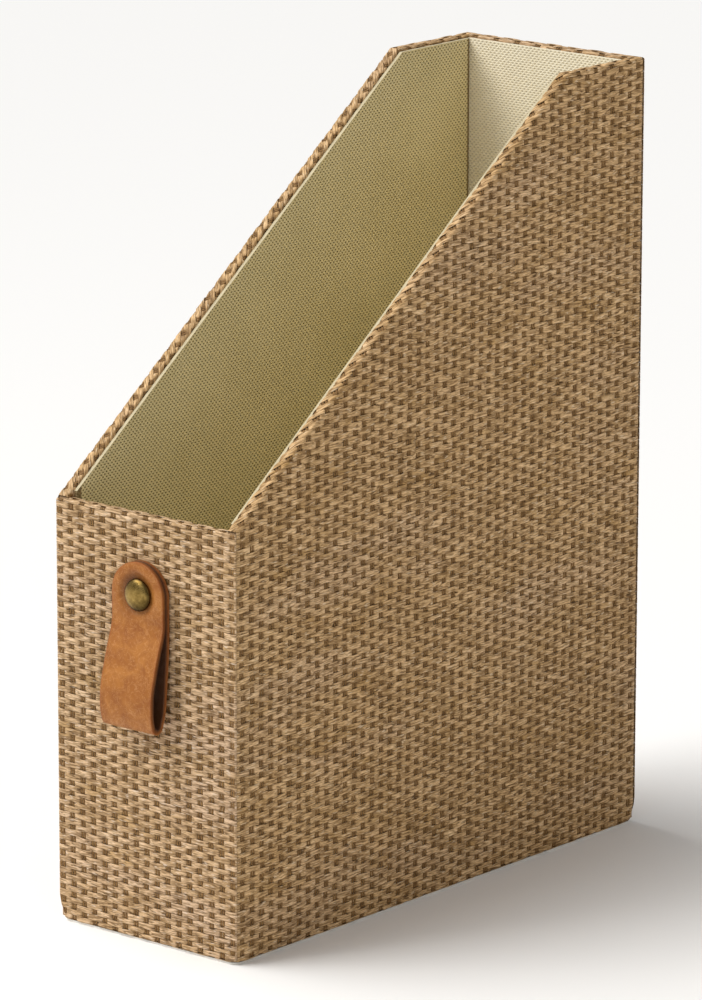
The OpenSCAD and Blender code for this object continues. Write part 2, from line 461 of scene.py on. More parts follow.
def side_cloth(name, end_y, front_top, knee, top, foot, rim, seed, face_x):
    """Wefts and warps of the right wall's cover, along Y and Z: its face, sloped rim and level rim."""
    over = reach(rim, RIM_ROUND, DOWN_INSIDE)
    rise = Vector((knee[0] + end_y, knee[1] - front_top)).normalized()
    square = (-rise.y, rise.x)
    corner_end = RIM_ROUND * (math.pi / 2 - 1)
    made = []
    for kind, weave in (("weft", flat_wefts), ("warp", flat_warps)):
        cloth = weave(-end_y - over, end_y, foot - UNDER_BASE, top + over)
        lay_out(cloth, (-end_y - 10 * MM, foot - 6 * MM), top + MAP_ROOM)
        stray(cloth, seed, SIDE_SLACK, kind == "weft")
        ends = [((end_y - BUTT_GAP, 0), (1, 0)), ((-end_y + BUTT_GAP, 0), (-1, 0))]
        on_slope = (knee[0] + square[0] * corner_end, knee[1] + square[1] * corner_end)
        on_level = (knee[0], top + corner_end)
        main = ends + [((0, foot - UNDER_BASE), (0, -1)), (on_slope, square), (on_level, (0, 1))]
        slope_far = (knee[0] + square[0] * over, knee[1] + square[1] * over)
        low_end = (-end_y + BUTT_GAP, front_top)
        slope = [(on_slope, (-square[0], -square[1])), (slope_far, square), (knee, tuple(rise)),
                 (low_end, (-rise.x, -rise.y))]
        level = ends + [(on_level, (0, -1)), ((0, top + over), (0, 1)), (knee, (-1, 0))]
        cloth = regions(cloth, [main, slope, level])
        bend_lines(cloth, knee, square, RIM_ROUND, rim)
        bend_lines(cloth, knee, (0, 1), RIM_ROUND, rim)
        bend_lines(cloth, (0, foot), (0, -1), RIM_ROUND)
        spots = places(cloth)
        spots[:, 1] = -spots[:, 1] * calmer(spots[:, 0], end_y)
        flat = spots[:, [0, 2]]
        past_slope = (flat - np.array(knee)) @ np.array(square)
        past_level = flat[:, 1] - top
        slopes = (past_slope >= past_level) & (flat[:, 0] < knee[0] + NO_FAR_EDGE)
        on_the_slope = fold(spots, knee, square, rim, RIM_ROUND)
        on_the_level = fold(spots, (0, top), (0, 1), rim, RIM_ROUND)
        spots = np.where(slopes[:, None], on_the_slope, on_the_level)
        spots = fold(spots, (0, foot), (0, -1), NO_FAR_EDGE, RIM_ROUND)
        near = np.clip((np.abs(spots[:, 0]) - end_y + EDGE_ROUND) / EDGE_ROUND, 0, 1)
        let_in = spots[:, 1] - BUTT_DROP * near * near
        spots[:, 1] = np.where(spots[:, 1] > DEEPEST_RELIEF, let_in, spots[:, 1])
        put(cloth, stand_up(spots, (face_x, 0, 0), (0, 1, 0), (1, 0, 0)))
        cloth.name = f"{name}_{kind}"
        cloth.data.name = cloth.name
        close_ends(cloth)
        made.append(cloth)
    return made


def soften_foot(piece):
    """Rounds the case's four upright corners in plan, more and more towards the foot."""
    spots = places(piece)
    low = np.clip(1 - spots[:, 2] / FOOT_HIGH, 0, 1)
    round_r = FOOT_ROUND * low * low * (3 - 2 * low)
    past = np.abs(spots[:, :2]) - np.array((half_x, half_y)) + round_r[:, None]
    in_corner = (past > 0).all(axis=1) & (round_r > 1e-6)
    square = past.max(axis=1)
    shrink = square / np.maximum(np.hypot(past[:, 0], past[:, 1]), 1e-9)
    kept = np.sign(spots[:, :2]) * (np.array((half_x, half_y)) - round_r[:, None] + past * shrink[:, None])
    spots[:, :2] = np.where(in_corner[:, None], kept, spots[:, :2])
    put(piece, spots)


def ground_sheet(node, name, planes):
    """The cloth's dark backing: the cover's own shape, let back from each face that yarns cover."""
    sheet = copy_of(nodes[node], name)
    edit_all(sheet)
    bpy.ops.mesh.remove_doubles(threshold=1e-6)
    bpy.ops.object.mode_set(mode="OBJECT")
    spots = places(sheet)
    normals = np.array([outward for point, outward in planes], float)
    levels = np.array([np.dot(point, outward) for point, outward in planes])
    on = np.abs(spots @ normals.T - levels) < ON_FACE
    for index in range(len(spots)):
        if on[index].any():
            active = normals[on[index]]
            spots[index] -= np.linalg.pinv(active) @ np.full(len(active), GROUND_DROP)
    put(sheet, spots)
    return sheet


# ---------------------------------------------------------------- shader maths

class Socket:
    """A shader value that takes part in ordinary sums."""

    def __init__(self, maker, link):
        self.maker = maker
        self.link = link

    def sum(self, operation, *values):
        return self.maker.node("ShaderNodeMath", {"operation": operation}, list(values))

    def __add__(self, other):
        return self.sum("ADD", self, other)

    def __radd__(self, other):
        return self.sum("ADD", other, self)

    def __sub__(self, other):
        return self.sum("SUBTRACT", self, other)

    def __rsub__(self, other):
        return self.sum("SUBTRACT", other, self)

    def __mul__(self, other):
        return self.sum("MULTIPLY", self, other)

    def __rmul__(self, other):
        return self.sum("MULTIPLY", other, self)

    def __truediv__(self, other):
        return self.sum("DIVIDE", self, other)

    def __pow__(self, other):
        return self.sum("POWER", self, other)


class Finish:
    """A material under construction."""

    def __init__(self, name):
        self.material = bpy.data.materials.new(name)
        self.material.use_nodes = True
        self.tree = self.material.node_tree
        self.shader = self.tree.nodes["Principled BSDF"]

    def node(self, kind, settings, inputs, output=0):
        made = self.tree.nodes.new(kind)
        for key, value in settings.items():
            if key == "stops":
                ramp = made.color_ramp
                while len(ramp.elements) < len(value):
                    ramp.elements.new(0.5)
                for element, (place, colour) in zip(ramp.elements, value):
                    element.position = place
                    element.color = (*colour, 1.0)
            else:
                setattr(made, key, value)
        pairs = inputs.items() if isinstance(inputs, dict) else enumerate(inputs)
        for key, value in pairs:
            self.feed(made.inputs[key], value)
        return Socket(self, made.outputs[output])

    def feed(self, socket, value):
        if isinstance(value, Socket):
            self.tree.links.new(value.link, socket)
        elif isinstance(value, tuple) and socket.type == "RGBA":
            socket.default_value = (*value, 1.0)
        else:
            socket.default_value = value

    def object_place(self):
        return self.node("ShaderNodeTexCoord", {}, {}, "Object")

    def cloth_map(self):
        return self.node("ShaderNodeUVMap", {"uv_map": "yarn"}, {})

    def parts(self, vector):
        split = self.node("ShaderNodeSeparateXYZ", {}, [vector])
        outs = split.link.node.outputs
        return [Socket(self, outs[i]) for i in range(3)]

    def point(self, x, y, z=0.0):
        return self.node("ShaderNodeCombineXYZ", {}, [x, y, z])

    def noise(self, place, scale, detail=2.0, roughness=0.5, distortion=0.0):
        inputs = {"Vector": place, "Scale": scale, "Detail": detail, "Roughness": roughness,
                  "Distortion": distortion}
        return self.node("ShaderNodeTexNoise", {}, inputs, "Fac")

    def cells(self, place, scale, feature="F1"):
        inputs = {"Vector": place, "Scale": scale}
        return self.node("ShaderNodeTexVoronoi", {"feature": feature}, inputs, "Distance")

    def round(self, value):
        return self.node("ShaderNodeMath", {"operation": "ROUND"}, [value])

    def size(self, value):
        return self.node("ShaderNodeMath", {"operation": "ABSOLUTE"}, [value])

    def fraction(self, value):
        return self.node("ShaderNodeMath", {"operation": "FRACT"}, [value])

    def attribute(self, name):
        return self.node("ShaderNodeAttribute", {"attribute_name": name}, {}, "Fac")

    def band(self, value, low, high, out_low=0.0, out_high=1.0):
        inputs = {"Value": value, "From Min": low, "From Max": high, "To Min": out_low, "To Max": out_high}
        return self.node("ShaderNodeMapRange", {"interpolation_type": "SMOOTHSTEP"}, inputs)

    def ramp(self, value, stops):
        return self.node("ShaderNodeValToRGB", {"stops": stops}, [value])

    def mix(self, share, a, b, how="MIX"):
        made = self.tree.nodes.new("ShaderNodeMix")
        made.data_type = "RGBA"
        made.blend_type = how
        self.feed(made.inputs["Factor"], share)
        self.feed(made.inputs[6], a)
        self.feed(made.inputs[7], b)
        return Socket(self, made.outputs[2])

    def bump(self, height, strength, distance):
        return self.node("ShaderNodeBump", {}, {"Height": height, "Strength": strength, "Distance": distance})

    def done(self, colour, roughness, normal=None, **constants):
        self.feed(self.shader.inputs["Base Color"], colour)
        self.feed(self.shader.inputs["Roughness"], roughness)
        if normal is not None:
            self.feed(self.shader.inputs["Normal"], normal)
        for key, value in constants.items():
            self.shader.inputs[key.replace("_", " ")].default_value = value
        return self.material


def weft_finish(name, shift, tint):
    """Flat paper raffia: straw, tan and pink tones along each yarn, split lengthwise into fine fibres, with
    painted shade in the slits, at the row edges and under the warps, and painted glints.
    """
    f = Finish(name)
    u, v, _ = f.parts(f.cloth_map())
    row = f.round(v)
    passes = (u + row) * 0.5
    under = f.size(passes - f.round(passes))
    u = u + shift
    edge = f.size((v - row) * 2.0)
    along = f.noise(f.point(u * 0.45, row * 7.13, 0.0), 1.0, 2.0, 0.6)
    patch = f.noise(f.point(u * 0.16, v * 0.22, 3.0), 1.0, 3.0, 0.6)
    blush = f.noise(f.point(u * 0.05, v * 0.07, 9.0), 1.0, 3.0, 0.6)
    fibre = f.noise(f.point(u * 0.85, v * 3.3 + row * 3.1, 0.0), 1.0, 2.0, 0.6, 0.6)
    slit = f.noise(f.point(u * 1.2 + 40.0, v * 2.7 + row * 5.3, 5.0), 1.0, 2.0, 0.5, 0.4)
    glint = f.noise(f.point(u * 1.5 + 9.0, v * 3.9 + row * 2.3, 8.0), 1.0, 1.0, 0.5)
    hair = f.noise(f.point(u * 2.0 + 5.0, v * 7.0 + row * 4.7, 2.0), 1.0, 1.0, 0.5)
    pink = (0.66, 0.47, 0.32)
    scorched = (0.44, 0.262, 0.095)
    glint_highlight = (0.84, 0.68, 0.49)
    tone = f.ramp(along, [(0.26, (0.44, 0.270, 0.112)), (0.42, (0.57, 0.368, 0.178)),
                          (0.56, (0.66, 0.438, 0.228)), (0.74, (0.76, 0.530, 0.300))])
    tone = f.mix(f.band(blush, 0.50, 0.66, 0.0, 0.34), tone, pink)
    tone = f.mix(f.band(patch + fibre * 0.3, 0.72, 0.84, 0.0, 0.75), tone, scorched)
    shade = f.band(fibre, 0.36, 0.62, 0.52, 1.18)
    # Painted shade: the slits between the fibre strands are darkened
    dark = f.band(slit, 0.30, 0.44, 0.34, 1.0)
    # Painted shade: each row darkens towards its edges, where it meets the next row
    rim = f.band(edge, 0.78, 1.0, 1.0, 0.82)
    # Painted shade: the weft darkens where it runs under the warps in the windows
    window = f.band(under, 0.105, 0.150, along * 0.6 + 0.24, 1.0)
    # light gathers the fibre streaks and these marks of painted shade into one darkening
    light = shade * dark * rim * window * f.band(hair, 0.32, 0.60, 0.76, 1.10)
    tone = f.mix(1.0, tone, f.point(light, light ** 1.12, light ** 1.32), "MULTIPLY")
    # Painted highlight: pale glints on the floats, kept out of the windows
    tone = f.mix(f.band(glint, 0.60, 0.72, 0.0, 0.65) * f.band(under, 0.13, 0.15), tone, glint_highlight)
    tone = f.mix(1.0, tone, tint, "MULTIPLY")
    height = fibre * 0.55 + slit * 0.45
    return f.done(tone, f.band(fibre, 0.3, 0.7, 0.80, 0.60), f.bump(height, 0.85, 0.0005),
                  Specular_IOR_Level=0.28)


def warp_finish():
    """Thin brown twisted paper threads."""
    f = Finish("brown_warp")
    u, v, _ = f.parts(f.cloth_map())
    twist = f.noise(f.point(u * 9.0, v * 1.6 + u * 3.0, 0.0), 1.0, 2.0, 0.6)
    tone = f.ramp(twist, [(0.3, (0.120, 0.051, 0.010)), (0.5, (0.225, 0.112, 0.028)),
                          (0.7, (0.38, 0.22, 0.075))])
    return f.done(tone, 0.8, f.bump(twist, 0.6, 0.0003))


def backing_finish():
    """Brown paper behind the yarns, made near black as painted shade where it shows in the cloth's windows,
    and painted pale at the corners, as painted light that lifts the shade in the gaps there.
    """
    f = Finish("cloth_backing")
    x, y, z = f.parts(f.object_place())
    grain = f.noise(f.object_place(), 900.0, 3.0, 0.6)
    far_x = f.size(x)
    at_back = f.band(y, half_y - 2.8 * MM, half_y - 1.4 * MM)
    back_corner = f.band(far_x, half_x - 2.8 * MM, half_x - 1.4 * MM) * at_back
    at_front = f.band(-1.0 * y, half_y - 6.0 * MM, half_y - 5.0 * MM)
    at_head = f.band(z, front_top - 2.6 * MM, front_top - 1.6 * MM) * at_front
    front_corner = f.band(far_x, inner_x - 1.0 * MM, inner_x) * at_head
    # Painted shade: the backing's near-black brown stands in for the shade in the windows
    tone = f.ramp(grain, [(0.3, (0.050, 0.021, 0.005)), (0.7, (0.110, 0.053, 0.014))])
    # Painted light: the backing is made pale at the upright back corners and the front corners under the rim,
    # where the gaps would show deep shade
    tone = f.mix(back_corner, tone, (0.40, 0.25, 0.13))
    tone = f.mix(front_corner, tone, (0.34, 0.21, 0.105))
    return f.done(tone, 0.85, f.bump(grain, 0.4, 0.0002))


def lining_finish(name, first, second, tones, pressed):
    """Cream card embossed with a fine staggered grid of dots, with painted shade in the dots and a painted
    highlight on the ridges, and on the side walls painted shade along the corner creases and on faces that
    turn upwards.
    """
    f = Finish(name)
    spot = f.parts(f.object_place())
    on_side = 1.0 if first == 1 else 0.0
    sway = f.noise(f.object_place(), 60.0, 1.0, 0.5) * 0.12
    along = spot[first] * DOTS_ALONG
    up = spot[second] * DOTS_UP
    rising = f.fraction(along + up + sway) - 0.5
    falling = f.fraction(along - up + sway) - 0.5
    wide = (rising + falling) * 0.62
    tall = rising - falling
    away = (wide * wide + tall * tall) ** 0.5
    dot = f.band(away, 0.12, 0.40, 1.0, 0.0)
    ridge = f.band(away, 0.36, 0.6)
    mottled = f.noise(f.object_place(), 35.0, 3.0, 0.6)
    fine = f.noise(f.object_place(), 1500.0, 2.0, 0.6)
    # Painted shade: a dark band along each corner crease of the side walls
    crease = f.band(f.size(spot[1]), half_y - 8.2 * MM, half_y - 7.2 * MM, 0.0, 0.85 * on_side)
    facing = f.parts(f.node("ShaderNodeNewGeometry", {}, {}, "Normal"))
    # Painted shade: faces of the side liners that turn upwards are darkened
    upward_face_shade = f.band(facing[2], 0.3, 0.5) * on_side
    tone = f.ramp(mottled, [(0.3, tones[0]), (0.7, tones[1])])
    # Painted shade: the pressed dots are darkened, as strongly as pressed says
    tone = f.mix(dot * pressed, tone, (0.13, 0.088, 0.022))
    # Painted highlight: the ridges between the dots are lightened
    tone = f.mix(ridge * 0.30, tone, (0.93, 0.85, 0.64))
    tone = f.mix(crease, tone, (0.15, 0.09, 0.025))
    tone = f.mix(upward_face_shade, tone, (0.60, 0.52, 0.34))
    height = ridge * 0.5 - dot * 0.8 + fine * 0.12
    return f.done(tone, f.band(fine, 0.3, 0.7, 0.62, 0.78), f.bump(height, 0.7, 0.0003))


def board_finish():
    """Grey pulp board with flecks."""
    f = Finish("grey_pulp_board")
    pulp = f.noise(f.object_place(), 260.0, 4.0, 0.65)
    fleck = f.cells(f.object_place(), 700.0)
    tone = f.ramp(pulp, [(0.3, (0.30, 0.27, 0.235)), (0.7, (0.45, 0.42, 0.37))])
    tone = f.mix(f.band(fleck, 0.08, 0.2, 0.6, 0.0), tone, (0.16, 0.13, 0.10))
    return f.done(tone, 0.9, f.bump(pulp, 0.4, 0.0003))


def tape_finish():
    """Brown kraft paper tape."""
    f = Finish("kraft_paper_tape")
    x, y, z = f.parts(f.object_place())
    lines = f.noise(f.point(x * 1800.0 + y * 1800.0, z * 90.0, 0.0), 1.0, 3.0, 0.6)
    tone = f.ramp(lines, [(0.3, (0.33, 0.21, 0.115)), (0.7, (0.47, 0.32, 0.19))])
    return f.done(tone, 0.75, f.bump(lines, 0.3, 0.0001))


def base_finish():
    """Pale grey paper on the underside."""
    f = Finish("pale_base_paper")
    pulp = f.noise(f.object_place(), 480.0, 4.0, 0.6)
    cloud = f.noise(f.object_place(), 30.0, 2.0, 0.5)
    tone = f.ramp(pulp * 0.6 + cloud * 0.4, [(0.3, (0.72, 0.70, 0.655)), (0.7, (0.84, 0.825, 0.785))])
    return f.done(tone, 0.8, f.bump(pulp, 0.35, 0.0002))


def leather_finish():
    """Tan vegetable leather, cloudy and finely veined, darker at its cut edges, with painted shade on the
    loop's inner faces, and darker by the cap, partly wear and partly painted shade.
    """
    f = Finish("tan_leather")
    place = f.object_place()
    cloud = f.noise(place, 130.0, 4.0, 0.62, 0.6)
    vein = f.noise(place, 330.0, 3.0, 0.6, 1.4)
    pores = f.band(f.cells(place, 1500.0, "DISTANCE_TO_EDGE"), 0.0, 0.12)
    crease = f.band(vein, 0.46, 0.5) * f.band(vein, 0.5, 0.54, 1.0, 0.0)
    tone = f.ramp(cloud, [(0.32, (0.285, 0.086, 0.009)), (0.5, (0.362, 0.122, 0.014)),
                          (0.68, (0.45, 0.170, 0.027))])
    tone = f.mix(crease * 0.40, tone, (0.60, 0.30, 0.115))
    tone = f.mix(f.attribute("edge") * 0.55, tone, (0.30, 0.085, 0.020))
    # Painted shade: the loop's inner faces, which face each other, are made near black
    tone = f.mix(f.attribute("inside") * 0.9, tone, (0.045, 0.014, 0.005))
    # Partly wear and partly painted shade: darker round the cap, most on its upper left
    tone = f.mix(f.attribute("hollow"), tone, (0.12, 0.035, 0.008))
    height = pores * 0.5 + vein * 0.5
    return f.done(tone, f.band(cloud, 0.3, 0.7, 0.54, 0.44), f.bump(height, 0.4, 0.00018),
                  Specular_IOR_Level=0.38)


def brass_finish(name):
    """Aged brass, with a painted dark reflection low down and to the right, and a brown patina round its edge
    that is deepened as painted dark reflection.
    """
    f = Finish(name)
    place = f.object_place()
    x, _, z = f.parts(place)
    cloud = f.noise(place, 420.0, 3.0, 0.6)
    fine = f.noise(place, 2600.0, 3.0, 0.65)
    low = (z - rivet_z) * 1000.0
    side = x * 1000.0
    away = (low * low + side * side) ** 0.5
    dark_reflection_lean = low * 0.85 - side * 0.35 + cloud * 3.0
    tone = f.ramp(cloud, [(0.3, (0.20, 0.125, 0.032)), (0.7, (0.40, 0.27, 0.085))])
    # Painted reflection: darker low down and to the right, where dark surroundings would be reflected
    tone = f.mix(f.band(dark_reflection_lean, -3.4, 1.2, 0.85, 0.0), tone, (0.050, 0.030, 0.008))
    # Patina round the cap's edge, deepened as painted dark reflection
    tone = f.mix(f.band(away, 5.0, 6.3, 0.0, 0.8), tone, (0.045, 0.026, 0.007))
    return f.done(tone, f.band(fine, 0.3, 0.7, 0.24, 0.38), f.bump(fine, 0.15, 0.00008), Metallic=1.0)


def floor_finish():
    """Plain pale floor."""
    f = Finish("pale_floor")
    return f.done((0.97, 0.97, 0.97), 0.9)


def wear(piece, material):
    """Gives a piece its one finish."""
    piece.data.materials.clear()
    piece.data.materials.append(material)
    for face in piece.data.polygons:
        face.material_index = 0


# ---------------------------------------------------------------- the case

front_low, front_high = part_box("front_cover")
half_x = front_high.x
half_y = -front_low.y
front_top = front_high.z
case_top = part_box("back_cover")[1].z
foot_z = front_low.z
inner_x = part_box("front_board")[1].x
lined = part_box("right_liner")[1].x
rim_width = half_x - lined
end_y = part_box("right_cover")[1].y
knee_y = -half_y + SLOPE_LONG
slope_rise = (case_top - front_top) / (knee_y + half_y)
side_front_top = front_top + (half_y - end_y) * slope_rise
knee = (knee_y, case_top)

front_cloth = end_cloth("front_cover", half_x, inner_x, front_top, rim_width, 11,
                        (1, 0, 0), (0, -1, 0), -half_y)
back_cloth = end_cloth("back_cover", half_x, inner_x, case_top, rim_width, 37,
                       (-1, 0, 0), (0, 1, 0), half_y)
right_cloth = side_cloth("right_cover", end_y, side_front_top, knee, case_top, foot_z, rim_width, 53, half_x)
left_cloth = []
for cloth in right_cloth:
    twin = copy_of(cloth, cloth.name.replace("right", "left"))
    spots = places(twin)
    spots[:, 0] = -spots[:, 0]
    put(twin, spots)
    mesh_flip(twin)
    left_cloth.append(twin)

# Painted shade: the side walls' wefts get a warmer tint than the ends', for the warm cast of shade; it is one
# yarn all round
rosy = (0.97, 0.985, 1.07)
warm_shade_tint = (0.975, 0.95, 0.89)
wefts = {}
for wall, shift, tint in (("front", 0.0, rosy), ("back", 31.0, rosy), ("right", 67.0, warm_shade_tint),
                          ("left", 113.0, warm_shade_tint)):
    wefts[wall] = weft_finish(f"raffia_weft_{wall}", shift, tint)
warps = warp_finish()
backing = backing_finish()
rise = Vector((knee_y + half_y, case_top - front_top)).normalized()
foot_plane = ((0, 0, foot_z), (0, 0, -1))
end_planes = [((half_x, 0, 0), (1, 0, 0)), ((-half_x, 0, 0), (-1, 0, 0)), foot_plane]
lined_y = half_y - rim_width


def side_planes(sign):
    """The faces of a side cover that yarns lie on, as points and outward normals."""
    return [((sign * half_x, 0, 0), (sign, 0, 0)), ((sign * lined, 0, 0), (-sign, 0, 0)), foot_plane,
            ((0, knee_y, case_top), (0, -rise.y, rise.x)), ((0, 0, case_top), (0, 0, 1))]


walls = {
    "front": (front_cloth, end_planes + [((0, -half_y, 0), (0, -1, 0)), ((0, -lined_y, 0), (0, 1, 0)),
                                         ((0, 0, front_top), (0, 0, 1))]),
    "back": (back_cloth, end_planes + [((0, half_y, 0), (0, 1, 0)), ((0, lined_y, 0), (0, -1, 0)),
                                       ((0, 0, case_top), (0, 0, 1))]),
    "right": (right_cloth, side_planes(1)),
    "left": (left_cloth, side_planes(-1)),
}
for wall, (cloths, planes) in walls.items():
    sheet = ground_sheet(f"{wall}_cover", f"{wall}_cover_backing", planes)
    wear(sheet, backing)
    wear(cloths[0], wefts[wall])
    wear(cloths[1], warps)
    for piece in (sheet, *cloths):
        soften_foot(piece)
        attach(piece, "case")
    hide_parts(f"{wall}_cover")

# Painted shade and light: the side walls' and base's card is darker, yellower and more strongly dotted than
# the ends' card, as shaded and lit copies of one card
straw_card = ((0.75, 0.64, 0.335), (0.85, 0.73, 0.41))
cream_card = ((0.90, 0.81, 0.61), (0.96, 0.885, 0.70))
side_lining = lining_finish("lining_card_sides", 1, 2, straw_card, 0.95)
end_lining = lining_finish("lining_card_ends", 0, 2, cream_card, 0.34)
base_lining = lining_finish("lining_card_base", 0, 1, straw_card, 0.8)
for node, finish in (("left_liner", side_lining), ("right_liner", side_lining), ("front_liner", end_lining),
                     ("back_liner", end_lining), ("base_liner", base_lining)):
    wear(nodes[node], finish)
pulp_board = board_finish()
tape = tape_finish()
for node in nodes:
    if node.endswith("_board"):
        wear(nodes[node], pulp_board)
    if node.endswith("_stay"):
        wear(nodes[node], tape)
wear(nodes["base_sheet"], base_finish())
cap_low, cap_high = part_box("rivet_cap")
rivet_z = (cap_low.z + cap_high.z) / 2
brass = brass_finish("aged_brass")
wear(nodes["rivet_post"], brass)

# ---------------------------------------------------------------- leather pull and its rivet

# The strap in millimetres: its route is (out from the wall, below the rivet), and it bends as it lifts
# from the first hinge place to the second, below the rivet
STRAP_WIDE = 26.0
STRAP_THICK = 1.9
STRAP_ROWS = 176
STRAP_COLUMNS = 28
STRAP_ROUTE = [(3.0, -14), (3.0, -8), (3.0, 0), (3.0, 7), (3.0, 11), (3.8, 15), (5.7, 20.6), (7.9, 28.2),
               (9.9, 36.8), (10.2, 44.4), (9.3, 49.4), (8.6, 50.9), (7.0, 51.6), (5.4, 50.9), (4.7, 49.4),
               (3.3, 44.4), (2.4, 36.8), (1.7, 28.2), (1.1, 19.6), (1.0, 11), (1.0, 7), (1.0, 0), (1.0, -8),
               (1.0, -14)]
strap_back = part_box("tab_head")[1].y


def smooth_route(points, steps):
    """A smooth curve through points in a plane, as closely spaced places."""
    p = np.array(points, float)
    line = []
    for i in range(len(p) - 1):
        a = p[max(i - 1, 0)]
        b = p[i]
        c = p[i + 1]
        d = p[min(i + 2, len(p) - 1)]
        for k in range(steps):
            t = k / steps
            line.append(0.5 * (2 * b + (c - a) * t + (2 * a - 5 * b + 4 * c - d) * t * t
                               + (3 * b - a - 3 * c + d) * t ** 3))
    line.append(p[-1])
    return np.array(line)


def strap_blank(length, rows, columns):
    """A flat leather strip with round ends and rounded edges, in millimetres."""
    deselect()
    bpy.ops.mesh.primitive_grid_add(x_subdivisions=columns, y_subdivisions=rows, size=2)
    strip = bpy.context.object
    spots = places(strip)
    r = STRAP_WIDE / 2
    y = (spots[:, 1] + 1) / 2 * length
    x = spots[:, 0]
    end = np.clip(np.maximum(r - y, y - (length - r)) / r, 0, 1)
    wide = x * np.sqrt(1 - end * end / 2)
    far = end * np.sqrt(1 - x * x / 2)
    spots[:, 0] = wide * r
    y = np.where(y < r, r - far * r, np.where(y > length - r, length - r + far * r, y))
    spots[:, 1] = y
    put(strip, spots)
    apply_modifier(strip, "SOLIDIFY", thickness=STRAP_THICK, offset=0.0)
    apply_modifier(strip, "BEVEL", width=0.7, segments=3, limit_method="ANGLE", angle_limit=math.radians(60))
    return strip


def leather_pull():
    """One strip folded into a loop, both ends clamped under the cap, and its vertices' flat places."""
    line = smooth_route(STRAP_ROUTE, 14)
    steps = np.linalg.norm(np.diff(line, axis=0), axis=1)
    run = np.concatenate(([0], np.cumsum(steps)))
    half = len(line) // 2
    start_run = np.interp(0.0, line[:half, 1], run[:half]) - STRAP_WIDE / 2
    back_half = line[half:]
    end_run = np.interp(0.0, back_half[::-1, 1], run[half:][::-1]) + STRAP_WIDE / 2
    length = end_run - start_run
    strip = strap_blank(length, STRAP_ROWS, STRAP_COLUMNS)
    strip.name = "leather_pull"
    strip.data.name = "leather_pull"
    flat = places(strip)
    x = flat[:, 0]
    s = flat[:, 1] + start_run
    h = flat[:, 2]
    out = np.interp(s, run, line[:, 0])
    below = np.interp(s, run, line[:, 1])
    ahead_out = np.interp(s + 0.6, run, line[:, 0])
    ahead_below = np.interp(s + 0.6, run, line[:, 1])
    behind_out = np.interp(s - 0.6, run, line[:, 0])
    behind_below = np.interp(s - 0.6, run, line[:, 1])
    t_out = ahead_out - behind_out
    t_below = ahead_below - behind_below
    size = np.hypot(t_out, t_below)
    normal_out = t_below / size
    normal_below = -t_out / size
    front_side = s < run[half]
    away = np.hypot(x, below)
    seat = np.clip((9.6 - away) / 3.0, 0, 1)
    seat = seat * seat * (3 - 2 * seat)
    swell = np.clip(1 - ((away - 10.6) / 2.3) ** 2, 0, 1) * np.clip((9 - below) / 6, 0, 1)
    dimple = np.where(front_side & (h > 0.3) & (below < 12), 1.1 * seat - 0.42 * swell, 0)
    crown = 0.16 * (1 - (x / (STRAP_WIDE / 2)) ** 2)
    bow = np.where(front_side, np.clip((below - 12) / 20, 0, 1) * crown, 0)
    wave = 0.10 * wander(x / 6.0, s / 7.0, 91)
    wave = wave * np.clip((below - 8) / 8, 0, 1)
    h = h - dimple + bow + wave
    out = out + normal_out * h
    below = below + normal_below * h
    spots = np.stack((x * MM, strap_back - out * MM, rivet_z - below * MM), axis=1)
    put(strip, spots)
    return strip, flat


leather = leather_finish()
pull, blank = leather_pull()
across = blank[:, 0]
down = blank[:, 1]
out = blank[:, 2]
radius = STRAP_WIDE / 2
end_in = np.maximum(radius - down, down - (down.max() - radius))
border = np.clip((np.hypot(across, np.maximum(end_in, 0)) / radius - 0.93) / 0.06, 0, 1)
from_rivet = np.stack((across, radius - down), axis=1)
away = np.linalg.norm(from_rivet, axis=1)
# The hollow mark: a little darkening all round the cap as wear, and painted shade growing towards the upper
# left
shaded = 0.5 + 0.5 * (from_rivet @ np.array((-0.75, 0.66))) / np.maximum(away, 0.1)
worn_and_painted_shade = np.clip((9.4 - away) / 2.6, 0, 1) * (0.16 + 0.6 * shaded ** 1.6) * (out > 0.2)
for name, amount in (("edge", border), ("inside", np.clip((0.2 - out) / 0.8, 0, 1)), ("hollow", worn_and_painted_shade)):
    attribute = pull.data.attributes.new(name, "FLOAT", "POINT")
    attribute.data.foreach_set("value", amount.astype(np.float32))
edit_all(pull)
bpy.ops.mesh.normals_make_consistent(inside=False)
bpy.ops.object.mode_set(mode="OBJECT")
pick(pull)
bpy.ops.object.shade_smooth_by_angle(angle=math.radians(50))
wear(pull, leather)
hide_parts("tab_head", "tab_loop")
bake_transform(pull)


